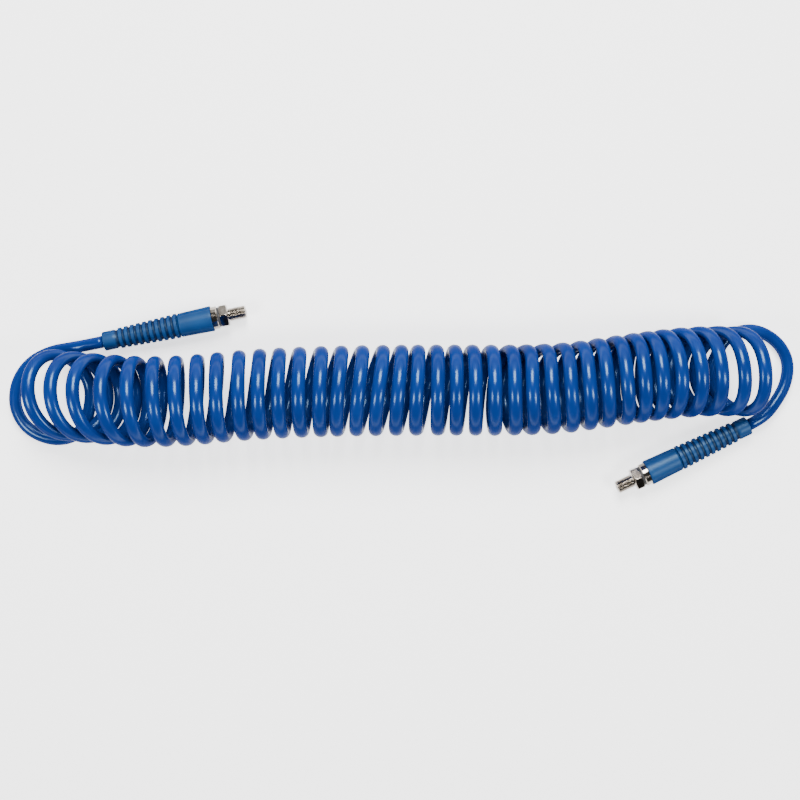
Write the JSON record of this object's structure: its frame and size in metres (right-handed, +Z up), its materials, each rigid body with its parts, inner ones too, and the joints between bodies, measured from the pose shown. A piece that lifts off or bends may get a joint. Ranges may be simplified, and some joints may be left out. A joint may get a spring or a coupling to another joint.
{
  "type": "coiled air hose",
  "caption": "Relaxed helical polyurethane air hose with a ribbed strain relief boot and a turning male threaded fitting on each end.",
  "frame": {"origin": "on the surface the hose lies on, under the middle of its box", "axes": "+X along the coil towards the end with the shorter boot offset, +Z up, +Y to the side of the first boot"},
  "size_m": [0.7815, 0.1868, 0.09],
  "materials": {
    "hose": "glossy blue polyurethane",
    "boot": "satin blue soft PVC",
    "nickel": "nickel-plated brass",
    "brass": "machined brass",
    "spring_steel": "drawn wire",
    "rubber": "matt black nitrile rubber",
    "ptfe": "matt white PTFE"
  },
  "bodies": {
    "root": {"hose_coil": "hose", "hose_lead_left": "hose", "strain_relief_boot_left": "boot", "hose_tail_left": "hose", "crimp_ferrule_left": "nickel", "hose_stem_left": "brass", "spigot_seal_rear_left": "rubber", "spigot_seal_front_left": "rubber", "retaining_ring_left": "spring_steel", "dust_seal_left": "rubber"},
    "left_swivel": {"swivel_body_left": "nickel", "thrust_washer_left": "ptfe"},
    "right_end": {"hose_lead_right": "hose", "strain_relief_boot_right": "boot", "hose_tail_right": "hose", "crimp_ferrule_right": "nickel", "hose_stem_right": "brass", "spigot_seal_rear_right": "rubber", "spigot_seal_front_right": "rubber", "retaining_ring_right": "spring_steel", "dust_seal_right": "rubber"},
    "right_swivel": {"swivel_body_right": "nickel", "thrust_washer_right": "ptfe"}
  },
  "joints": [
    {"name": "left_swivel_turn", "type": "hinge", "parent": "root", "child": "left_swivel", "pos_m": [-0.17351, 0.08288, 0.0128], "axis": [0.9781, 0.2079, 0], "continuous": true},
    {"name": "coil_stretch", "type": "slide", "parent": "root", "child": "right_end", "axis": [1, 0, 0], "range_m": [0, 0.3], "stiffness_N_per_m": 15, "deforming": ["hose_coil"]},
    {"name": "right_swivel_turn", "type": "hinge", "parent": "right_end", "child": "right_swivel", "pos_m": [0.23178, -0.07928, 0.0128], "axis": [-0.9026, -0.4305, 0], "continuous": true}
  ]
}
